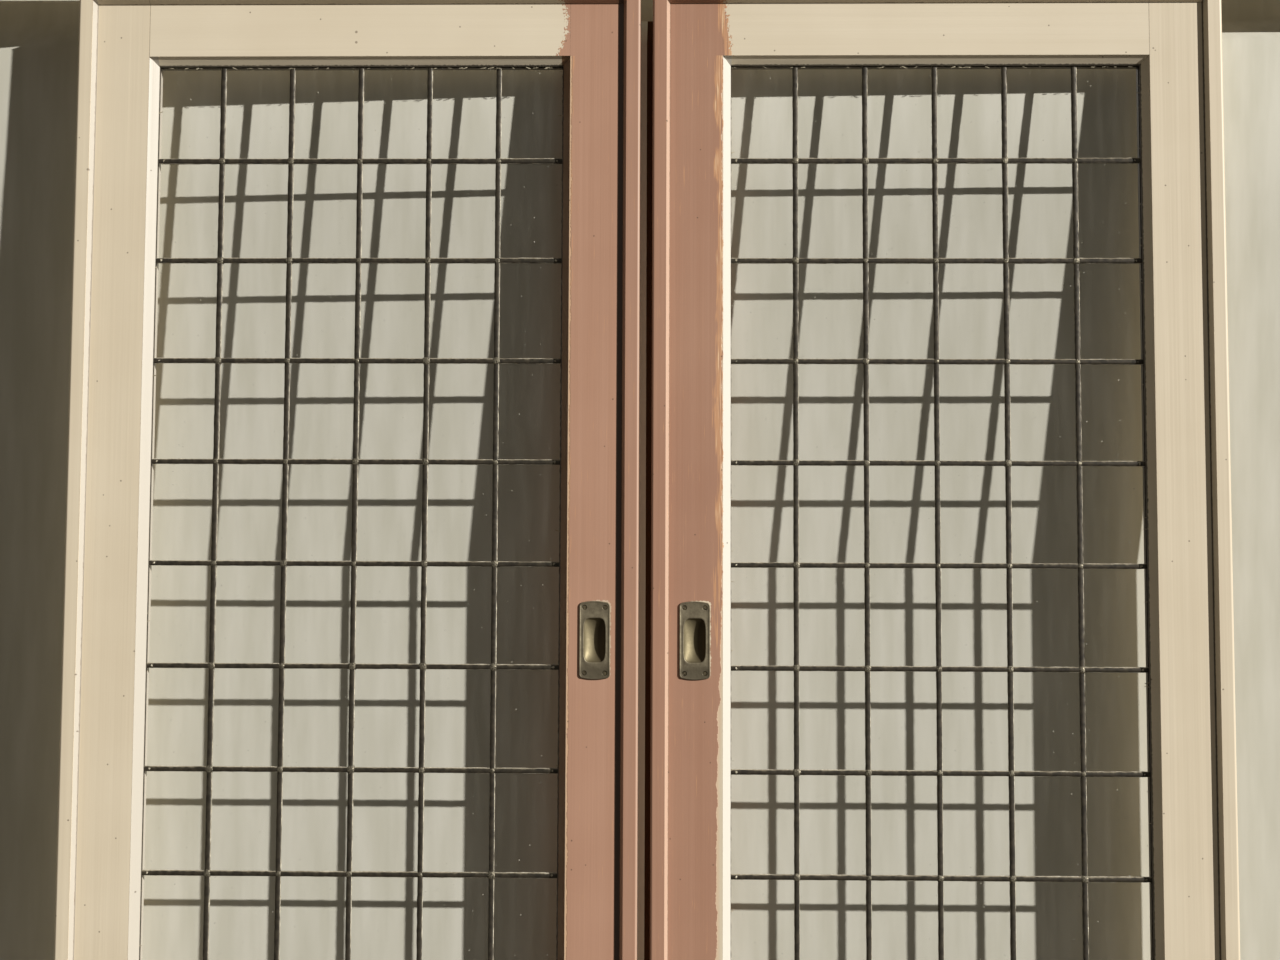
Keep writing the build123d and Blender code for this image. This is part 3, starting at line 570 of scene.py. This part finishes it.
def came_tree(lead):
    """Net of rounded flanges on both faces of the glass, a little uneven as hand work is."""
    add, given = new_tree(
        "came net", Vector=["Centre"], Int=["Columns", "Rows", "Sides"],
        Float=["Width", "Height", "Came Width", "Rise", "Front", "Back", "Wave", "Wobble", "Seed"])
    bars = add("JoinGeometry")
    for along, beside, length, span, count in (("Z", "X", "Height", "Width", "Columns"),
                                               ("X", "Z", "Width", "Height", "Rows")):
        half = add("Math MULTIPLY", (given[length], 0.5))
        start = add("Math MULTIPLY", (half, -1.0))
        ends = [add("CombineXYZ", {along: value}) for value in (start, half)]
        line = add("CurvePrimitiveLine", {"Start": ends[0], "End": ends[1]})
        steps = add("Math DIVIDE", (given[length], 0.006))
        line = add("ResampleCurve", {"Curve": line, "Count": steps})
        line = add("SetCurveNormal", {"Curve": line, "Normal": (0.0, 1.0, 0.0)}, mode="FREE")
        ring = add("CurvePrimitiveCircle", {"Resolution": given["Sides"], "Radius": 1.0})
        gap = add("Math DIVIDE", (given[span], given[count]))
        first = add("Math MULTIPLY", (given[span], -0.5))
        points = add("MeshLine", {
            "Count": add("Math ADD", (given[count], 1.0)),
            "Start Location": add("CombineXYZ", {beside: first}),
            "Offset": add("CombineXYZ", {beside: gap})})
        for face, way in (("Front", -1.0), ("Back", 1.0)):
            # Half-round section: the side that would lie in the glass is pressed flat
            spot = add("SeparateXYZ", (add("InputPosition"),))
            rise = spot.outputs["X"]
            for step, value in (("MAXIMUM", 0.0), ("MULTIPLY", given["Rise"]), ("MULTIPLY", way)):
                rise = add("Math " + step, (rise, value))
            wide = add("Math MULTIPLY", (given["Came Width"], 0.5))
            wide = add("Math MULTIPLY", (spot.outputs["Y"], wide))
            section = add("SetPosition", {
                "Geometry": ring, "Position": add("CombineXYZ", {"X": rise, "Y": wide})})
            bar = add("CurveToMesh", {"Curve": line, "Profile Curve": section, "Fill Caps": True})
            placed = add("InstanceOnPoints", {"Points": points, "Instance": bar})
            depth = add("CombineXYZ", {"Y": given[face]})
            feed(bars, (add("Transform", {"Geometry": placed, "Translation": depth}),))
    real = add("RealizeInstances", (bars,))
    reach = add("VectorMath SCALE", ((1.0, 0.25, 1.0), given["Wobble"]))
    uneven = roughened(add, real, reach, {"W": given["Seed"], "Scale": given["Wave"], "Detail": 2.0})
    return close_tree(add, given["Centre"], uneven, lead, smooth=True)


# The turn that stands a drawing in the floor's plane upright, to face the front
stood_up = (math.pi / 2, 0.0, 0.0)


def solder_tree(solder):
    """Flattened lumpy domes at the crossings, on both faces."""
    add, given = new_tree("solder joints", Vector=["Centre"],
                           Float=["Width", "Height", "Spread", "Rise", "Front", "Back"],
                           Int=["Columns", "Rows", "Fineness", "Seed"])
    crossings = add("MeshGrid", {
        "Size X": given["Width"], "Size Y": given["Height"],
        "Vertices X": add("Math ADD", (given["Columns"], 1.0)),
        "Vertices Y": add("Math ADD", (given["Rows"], 1.0))})
    standing = add("Transform", {"Geometry": crossings, "Rotation": stood_up})
    dome = add("MeshIcoSphere", {"Radius": 1.0, "Subdivisions": given["Fineness"]})
    size, turn = (
        add("RandomValue FLOAT", {0: low, 1: high, "Seed": given["Seed"]})
        for low, high in ((0.75, 1.15), (0.0, 6.28)))
    broad = add("Math MULTIPLY", (size, given["Spread"]))
    lumps = add("InstanceOnPoints", {
        "Points": standing, "Instance": dome, "Rotation": add("CombineXYZ", {"Y": turn}),
        "Scale": add("CombineXYZ", {"X": broad, "Y": given["Rise"], "Z": broad})})
    faces = add("JoinGeometry")
    for face in ("Front", "Back"):
        depth = add("CombineXYZ", {"Y": given[face]})
        feed(faces, (add("Transform", {"Geometry": lumps, "Translation": depth}),))
    real = add("RealizeInstances", (faces,))
    lumpy = roughened(add, real, (0.0075, 0.0016, 0.0075),
                      {"Scale": 330.0, "Detail": 4.0, "Roughness": 0.7})
    return close_tree(add, given["Centre"], lumpy, solder, smooth=True)


# Milled lead long out of doors: dull and nearly black, with grey dust and painted light on what
# faces up
net_tree = came_tree(weathered("milled lead", "#2C271E", "#474034", grain_mm=7, roughness=0.55,
                               metallic=0.4, bump_mm=0.35, dust_and_top_light="#A79C86"))
# Solder under a dark film: each lump shows one small bright glint
joint_tree = solder_tree(weathered("lead solder", "#2F2A20", "#938B78", grain_mm=2.0, roughness=0.45,
                                   metallic=0.6, bump_mm=1.2))
# Whiting cement: chalky, pale and without shine
cement = weathered("glazing cement", "#9A9079", "#DDD5C2", grain_mm=3, roughness=0.9, metallic=0.0,
                   bump_mm=0.4)
cement_tree = came_tree(cement)
splash_tree = solder_tree(cement)
for name in leaves:
    low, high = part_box(f"{name}_lead_cames")
    sizes = {"Centre": ((low.x + high.x) / 2, 0.0, (low.z + high.z) / 2),
             "Width": high.x - low.x - came_width, "Height": high.z - low.z - came_width,
             "Columns": columns, "Rows": rows, "Fineness": 2}
    inner_height = sizes["Height"] * (rows - 2) / rows
    seeds = (1.0, 2.0, 3, 6) if name == "left" else (7.0, 8.0, 11, 13)
    net = grown(f"{name}_lead_net", net_tree, sizes | {
        "Came Width": came_width, "Rise": came_rise, "Front": low.y + came_rise,
        "Back": high.y - came_rise, "Sides": 10, "Wave": 28.0, "Wobble": 0.0009, "Seed": seeds[0]})
    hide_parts(f"{name}_lead_cames")
    # What was left of the cement after brushing shows as a thin ragged line beside the lead
    rest = grown(f"{name}_cement", cement_tree, sizes | {
        "Came Width": came_width + 0.0016, "Rise": 0.0004, "Front": low.y + 0.0012,
        "Back": high.y - 0.0012, "Sides": 6, "Wave": 90.0, "Wobble": 0.0022, "Seed": seeds[1]})
    joints = grown(f"{name}_solder_joints", joint_tree, sizes | {
        "Width": sizes["Width"] * (columns - 2) / columns, "Height": inner_height,
        "Columns": columns - 2, "Rows": rows - 2, "Spread": 0.0060, "Rise": 0.0017,
        "Front": low.y + 0.0009, "Back": high.y - 0.0009, "Seed": seeds[2]})
    # Spilt cement dots the ends of the level cames
    splashes = grown(f"{name}_end_splashes", splash_tree, sizes | {
        "Width": sizes["Width"] - 0.034, "Height": inner_height, "Columns": 1, "Rows": rows - 2,
        "Spread": 0.0020, "Rise": 0.0009, "Front": low.y + 0.0005, "Back": high.y - 0.0005,
        "Seed": seeds[3]})
    for piece in (net, rest, joints, splashes):
        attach(piece, f"{name}_door")


# Panes
# Plain clear sheet glass in the grooves of the lead, with a film of dust and dried rain that hangs
# in faint upright streaks, so that the panes look a little milky where the light catches them.
glass, add, shader, mm = blank_finish("clear sheet glass")
hanging = add("VectorMath MULTIPLY", (mm, (1.0, 1.0, 0.1)))
streaks = add("TexNoise", {"Vector": hanging, "Scale": 1 / 14, "Detail": 4.0})
film = add("MapRange", (streaks, 0.45, 0.8, 0.006, 0.026))
# Dried drops, 3 mm across and a few to a pane
axes = add("SeparateXYZ", (mm,))
flat_place = add("CombineXYZ", {"X": axes.outputs["X"], "Y": axes.outputs["Z"]})
drops = add("TexVoronoi", {"Vector": flat_place, "Scale": 1 / 46}, voronoi_dimensions="2D")
drops = add("Math MULTIPLY_ADD", (streaks, 0.05, drops))
drops = add("MapRange", (drops, 0.040, 0.032, 0.0, 0.6))
veil = add("Math MAXIMUM", (film, drops))
feed(shader, {"Base Color": "#CFCABB", "Roughness": 0.06, "IOR": 1.5, "Alpha": veil})
for name in leaves:
    paint_node(f"{name}_glass_panes", glass)


# Putty
# Glazing putty pressed in along the sight edge, gone hard and grey, with crumbs of it left on the
# ends of the lead lines.
bead_to_sight = 0.0123        # m from a bead's outer edge to the middle of the putty


def putty_tree(putty):
    """Uneven fillet round the sight opening."""
    add, given = new_tree("putty fillet", Vector=["Centre"], Float=["Width", "Height", "Radius"])
    loop = add("CurvePrimitiveQuadrilateral", {"Width": given["Width"], "Height": given["Height"]})
    steps = add("ResampleCurve", {"Curve": loop, "Length": 0.004}, mode="LENGTH")
    section = add("CurvePrimitiveCircle", {"Resolution": 8, "Radius": given["Radius"]})
    tube = add("CurveToMesh", {"Curve": steps, "Profile Curve": section})
    uneven = roughened(add, tube, (0.003, 0.003, 0.001), {"Scale": 120.0, "Detail": 3.0})
    standing = add("Transform", {"Geometry": uneven, "Rotation": stood_up})
    return close_tree(add, given["Centre"], standing, putty, smooth=True)


def crumb_tree(crumb):
    """Flat crumbs along the sight opening, most of them along its top."""
    add, given = new_tree("putty crumbs", Vector=["Centre"], Int=["Seed"],
                           Float=["Width", "Height", "Crumb", "Spacing"])
    loop = add("CurvePrimitiveQuadrilateral", {"Width": given["Width"], "Height": given["Height"]})
    spots = add("CurveToPoints", {"Curve": loop, "Length": given["Spacing"]}, mode="LENGTH")
    spot = add("SeparateXYZ", (add("InputPosition"),))
    limit = add("Math MULTIPLY", (given["Height"], 0.49))
    at_top = add("Math GREATER_THAN", (spot.outputs["Y"], limit))
    chance = add("MapRange", {"Value": at_top, "To Min": 0.05, "To Max": 0.28})
    keep = add("RandomValue BOOLEAN", {"Probability": chance, "Seed": given["Seed"]})
    size, turn = (
        add("RandomValue FLOAT_VECTOR", {0: low, 1: high, "Seed": given["Seed"]})
        for low, high in (((0.3, 0.2, 0.2), (4.2, 0.5, 0.5)), ((0.0, 0.0, -0.4), (0.0, 0.0, 0.4))))
    stone = add("MeshIcoSphere", {"Radius": given["Crumb"], "Subdivisions": 1})
    crumbs = add("InstanceOnPoints", {
        "Points": spots, "Selection": keep, "Instance": stone, "Scale": size, "Rotation": turn})
    real = add("RealizeInstances", (crumbs,))
    uneven = roughened(add, real, (0.005, 0.003, 0.001), {"Scale": 300.0, "Detail": 3.0})
    standing = add("Transform", {"Geometry": uneven, "Rotation": stood_up})
    return close_tree(add, given["Centre"], standing, crumb, smooth=False)


# Old linseed putty: matt and nearly black
fillet_tree = putty_tree(weathered("old glazing putty", "#1F1A13", "#3B3225", grain_mm=6, roughness=0.85,
                                   metallic=0.0, bump_mm=0.5))
# Broken putty: chalky and pale, as it is inside
bits_tree = crumb_tree(weathered("putty crumbs", "#7E745F", "#C9BEA4", grain_mm=2, roughness=0.9,
                                 metallic=0.0, bump_mm=0.3))
for name in leaves:
    low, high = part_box(f"{name}_top_bead")
    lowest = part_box(f"{name}_bottom_bead")[0].z
    width, height = high.x - low.x - 2 * bead_to_sight, high.z - lowest - 2 * bead_to_sight
    middle_x, middle_z = (low.x + high.x) / 2, (high.z + lowest) / 2
    fillet = grown(f"{name}_putty", fillet_tree, {
        "Centre": (middle_x, -0.0032, middle_z), "Width": width, "Height": height, "Radius": 0.0008})
    bits = grown(f"{name}_putty_crumbs", bits_tree, {
        "Centre": (middle_x, -0.0048, middle_z - 0.0005),
        "Width": width - 0.004, "Height": height - 0.004,
        "Crumb": 0.0016, "Spacing": 0.006, "Seed": 5 if name == "left" else 9})
    for piece in (fillet, bits):
        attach(piece, f"{name}_door")


# Flush pulls
# Pressed brass plates with arched ends and a rolled edge, a deep dished cup for the fingers, and
# four countersunk slotted screws. The metal has gone brown; in the cup, painted light brightens the
# wall that faces the lamp, which hands also rub.
plate_arch, plate_corner = 0.0035, pull_corner / 1000
mouth_half, mouth_squareness = (0.0170, 0.0345), 4.6
screw_half = (16.0, 51.0)      # mm from the pull's middle to its screws
plate_sunk, cup_depth = 0.0006, 0.0125
# The rolled edge from the back: how far each ring lies in from the outline and behind the front
rolled_edge = ((0, 0.0026), (0, 0.0007), (0.0003, 0.0002), (0.0009, 0), (0.0016, 0.0001),
               (0.0021, 0.0004), (0.0027, plate_sunk))
# Rings of the cup, as shares of its mouth: two of them round the lip, the rest down to the middle
cup_rings = (1.09, 1.04, 1.0, 0.99, 0.975, 0.95, 0.92, 0.88, 0.83, 0.77, 0.70, 0.62, 0.53, 0.43, 0.32,
             0.2, 0.08)


def plate_outline(half_w, half_h, corner):
    """Outline of the plate: straight sides, shallow arched ends, rounded corners, evenly spaced."""
    radius = (half_w * half_w + plate_arch * plate_arch) / (2 * plate_arch)
    quarter = []
    for k in range(9):
        x = (half_w - corner) * k / 8
        quarter.append((x, half_h - radius + math.sqrt(radius * radius - x * x)))
    lean = math.asin((half_w - corner) / radius)
    centre = (half_w - corner, quarter[-1][1] - corner * math.cos(lean))
    for k in range(1, 9):
        turn = lean + (math.pi / 2 - lean) * k / 8
        quarter.append((centre[0] + corner * math.sin(turn), centre[1] + corner * math.cos(turn)))
    for k in range(1, 20):
        quarter.append((half_w, centre[1] * (1 - k / 19)))
    half = quarter + [(x, -z) for x, z in reversed(quarter[:-1])]
    return half + [(-x, z) for x, z in reversed(half[1:-1])]


def mouth_outline(count, half_w, half_h):
    """Outline of the cup's mouth, a rectangle with well rounded corners."""
    ring = []
    for k in range(count):
        angle = math.pi / 2 - 2 * math.pi * k / count
        c, s = math.cos(angle), math.sin(angle)
        size = (abs(c) ** mouth_squareness + abs(s) ** mouth_squareness) ** (-1 / mouth_squareness)
        ring.append((half_w * size * c, half_h * size * s))
    return ring


def pull_mesh(name, low, high):
    """Plate and cup as rings from the back edge over the rolled edge into the dished cup."""
    middle_x, middle_z = (low.x + high.x) / 2, (low.z + high.z) / 2
    half_w, half_h = (high.x - low.x) / 2, (high.z - low.z) / 2
    plate = low.y + plate_sunk
    rings = []
    for inset, depth in rolled_edge:
        outline = plate_outline(half_w - inset, half_h - inset, plate_corner - inset)
        rings.append([(x, low.y + depth, z) for x, z in outline])
    count = len(rings[0])
    for share in cup_rings:
        ring = []
        for x, z in mouth_outline(count, mouth_half[0] * share, mouth_half[1] * share):
            # A round channel, deepest half way up, that runs out to both ends
            crosswise = math.sqrt(max(1 - (x / mouth_half[0]) ** 2, 0))
            lengthwise = max(1 - abs(z / mouth_half[1]) ** 2.2, 0) ** 0.6
            fall = cup_depth * crosswise * lengthwise * min(max(1 - share, 0) / 0.03, 1) ** 0.5
            lip = -0.0003 if 1.0 < share < 1.06 else 0.0
            ring.append((x, plate + (lip if share > 1 else fall), z))
        rings.append(ring)
    points = [(middle_x + x, y, middle_z + z) for ring in rings for x, y, z in ring]
    points.append((middle_x, plate + cup_depth, middle_z))
    faces = []
    for r in range(len(rings) - 1):
        for k in range(count):
            n = (k + 1) % count
            faces.append((r * count + k, r * count + n, (r + 1) * count + n, (r + 1) * count + k))
    last = (len(rings) - 1) * count
    for k in range(count):
        faces.append((last + k, last + (k + 1) % count, len(points) - 1))
    mesh = mesh_from(name, points, faces)
    turn_outward(mesh, front=plate)
    for face in mesh.polygons:
        face.use_smooth = True
    return mesh


def aged_brass():
    """Brown patina on pressed brass: dirty countersinks, painted shade in hollows, painted light and
    shade in the cup.
    """
    material, add, shader, mm = blank_finish("aged brass")
    axes = add("SeparateXYZ", (mm,))
    patches = add("TexNoise", {"Vector": mm, "Scale": 1 / 9, "Detail": 5.0, "Roughness": 0.6})
    tone = add("MapRange", (patches, 0.35, 0.7))
    colour = add("Mix RGBA", (tone, "#716754", "#90866F"))
    low_end = add("MapRange", (axes.outputs["Z"], pull_middle[1] - 38.0, pull_middle[1] - 46.0))
    low_end = add("Math MULTIPLY", (low_end, patches))
    colour = add("Mix RGBA", (low_end, colour, "#3F382B"))

    # Painted light and shade in the cup: the wall that faces the lamp is bright and the wall away from
    # it nearly black; fingers also rub the bright one
    facing = add("SeparateXYZ", (add("NewGeometry").outputs["Normal"],))
    rubbed = add("MapRange", (facing.outputs["X"], -0.25, 0.15))
    cup = add("Mix RGBA", (rubbed, "#463A28", "#897E62"))
    deep = add("MapRange", (axes.outputs["Y"], -21.3, -20.3))
    colour = add("Mix RGBA", (deep, colour, cup))

    # Dirt rings in the four countersinks, and painted shade in hollows where ambient occlusion is high
    off_screw = {}
    for key, axis, middle, half in (("X", "X", pull_middle[0], screw_half[0]),
                                    ("Y", "Z", pull_middle[1], screw_half[1])):
        gap = add("Math ABSOLUTE", (axes.outputs[axis],))
        for step in (middle, half):
            gap = add("Math SUBTRACT", (gap, step))
            gap = add("Math ABSOLUTE", (gap,))
        off_screw[key] = gap
    reach = add("VectorMath LENGTH", (add("CombineXYZ", off_screw),))
    ring = add("MapRange", (reach, 4.0, 3.4, 0.0, 0.75))
    outside = add("Math GREATER_THAN", (reach, 3.15))
    ring = add("Math MULTIPLY", (ring, outside))
    hollow = add("AmbientOcclusion", {"Distance": 0.003}, samples=4).outputs["AO"]
    corner = add("MapRange", (hollow, 0.75, 0.35, 0.0, 0.8))
    dirt_and_shade = add("Math MAXIMUM", (ring, corner))
    colour = add("Mix RGBA", (dirt_and_shade, colour, "#231B10"))

    # Scratches of use, dents of the press, and the countersinks
    rough = add("MapRange", (patches, 0.3, 0.7, 0.60, 0.48))
    rough = add("Math MULTIPLY_ADD", (deep, 0.06, rough))
    scratches = add("VectorMath MULTIPLY", (mm, (1.0, 1.0, 0.08)))
    scratches = add("TexNoise", {"Vector": scratches, "Scale": 1.2, "Detail": 3.0})
    bump = add("Bump", {"Strength": 0.3, "Distance": 0.0002, "Height": scratches})
    dents = add("Bump", {"Strength": 0.5, "Distance": 0.0008, "Height": patches, "Normal": bump})
    sink = add("MapRange", (reach, 3.0, 4.1))
    sunk = add("Bump", {"Strength": 1.0, "Distance": 0.0012, "Height": sink, "Normal": dents})
    feed(shader, {"Base Color": colour, "Roughness": rough, "Metallic": 0.65, "Normal": sunk})
    return material


def screw_tree(metal):
    """Flat slotted heads at four corners, each slot turned its own way."""
    add, given = new_tree("slotted screws", Vector=["Centre"], Int=["Seed"],
                           Float=["Spacing X", "Spacing Z", "Head Radius", "Head Depth", "Slot"])
    corners = add("MeshGrid", {
        "Size X": given["Spacing X"], "Size Y": given["Spacing Z"], "Vertices X": 2, "Vertices Y": 2})
    standing = add("Transform", {"Geometry": corners, "Rotation": stood_up})
    head = add("MeshCylinder", {
        "Vertices": 32, "Radius": given["Head Radius"], "Depth": given["Head Depth"]})
    cut_size = add("CombineXYZ", {"X": 0.02, "Y": given["Slot"], "Z": given["Head Depth"]})
    cutter = add("MeshCube", {"Size": cut_size})
    lift = add("Math MULTIPLY", (given["Head Depth"], 0.6))
    cutter = add("Transform", {"Geometry": cutter, "Translation": add("CombineXYZ", {"Z": lift})})
    slotted = add("MeshBoolean DIFFERENCE", {"Mesh 1": head, "Mesh 2": cutter})
    facing = add("Transform", {"Geometry": slotted, "Rotation": stood_up})
    turn = add("RandomValue FLOAT", {0: 0.0, 1: 3.14, "Seed": given["Seed"]})
    placed = add("InstanceOnPoints", {
        "Points": standing, "Instance": facing, "Rotation": add("CombineXYZ", {"Y": turn})})
    return close_tree(add, given["Centre"], placed, metal, smooth=False)


# Pressed brass, never polished: brown and dull, with painted light and shade in the cup
brass_old = aged_brass()
# Turned brass screws: tarnished darker than the plate, with a low shine
slotted_tree = screw_tree(weathered("tarnished brass screw", "#3A3223", "#766A50", grain_mm=3,
                                    roughness=0.42, metallic=0.6, bump_mm=0.1))
for name in leaves:
    low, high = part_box(f"{name}_flush_pull")
    pull = piece_from(f"{name}_pull", pull_mesh(f"{name}_pull", low, high))
    pull.data.materials.append(brass_old)
    heads = grown(f"{name}_screw_heads", slotted_tree, {
        "Centre": ((low.x + high.x) / 2, low.y + 0.00095, (low.z + high.z) / 2),
        "Spacing X": 2 * screw_half[0] / 1000, "Spacing Z": 2 * screw_half[1] / 1000,
        "Head Radius": 0.0030, "Head Depth": 0.001, "Slot": 0.0011, "Seed": 2 if name == "left" else 4})
    for piece, solid in ((pull, "flush_pull"), (heads, "pull_screws")):
        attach(piece, f"{name}_door")
        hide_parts(f"{name}_{solid}")


# Wheels, cases, guide pins and floor rail
# Turned brass wheels and pins, a drawn brass rail, pressed steel cases, turned steel axles and
# rubber pads. None of it shows from the front when the doors stand shut.

# Turned and drawn brass: yellow, with the even shine that wheels keep by running
brass_bright = weathered("turned brass", "#8C6F36", "#B8974F", grain_mm=20, roughness=0.32, metallic=1.0,
                         bump_mm=0.02)
# Mild steel under a film of oil: grey, with a soft shine
steel_plain = weathered("mild steel", "#6E6C68", "#8E8B85", grain_mm=12, roughness=0.38, metallic=1.0,
                        bump_mm=0.03)
# Moulded rubber: matt and black
rubber_black = weathered("black rubber", "#161614", "#232220", grain_mm=8, roughness=0.75, metallic=0.0,
                         bump_mm=0.1)
paint_node("floor_rail", brass_bright)
paint_node("frame_screws", steel_plain)
for name in leaves:
    for place in ("meeting", "outer"):
        for piece, metal in (("wheel", brass_bright), ("guide_pin", brass_bright), ("axle", steel_plain),
                             ("wheel_case", steel_plain)):
            paint_node(f"{name}_{place}_{piece}", metal)
    paint_node(f"{name}_case_screws", steel_plain)
    paint_node(f"{name}_end_buffer", rubber_black)


# Frame
# Planed pine boards with a thin pale stain: a sole board and a head board, two laths that make the
# guide groove, and a post at each end.

def stained_pine(grain):
    """Pine with year lines along one axis, under a thin pale stain."""
    material, add, shader, mm = blank_finish(f"stained_pine_along_{grain}")
    stretch = (1.0, 1.0, 0.02) if grain == "Z" else (0.02, 1.0, 1.0)
    fibres = add("VectorMath MULTIPLY", (mm, stretch))
    rings, pores = (add("TexNoise", {"Vector": fibres, "Scale": 1 / size, "Detail": detail})
                    for size, detail in ((30, 2.0), (2, 3.0)))
    rings = add("Math MULTIPLY", (rings, 60.0))
    rings = add("Math SINE", (rings,))
    tone = add("Math MULTIPLY_ADD", (rings, 0.25, pores))
    tone = add("MapRange", (tone, 0.1, 0.9))
    colour = add("Mix RGBA", (tone, "#D8C8A6", "#C2AE88"))
    bump = add("Bump", {"Strength": 0.4, "Distance": 0.0003, "Height": tone})
    feed(shader, {"Base Color": colour, "Roughness": 0.6, "Normal": bump})
    return material


# Stained pine: warm and pale, with darker year lines along each board and hardly any shine
for grain, pieces in (("X", ("sole_board", "head_board", "front_guide_lath", "back_guide_lath")),
                      ("Z", ("left_post", "right_post"))):
    pine = stained_pine(grain)
    for piece in pieces:
        paint_node(piece, pine)
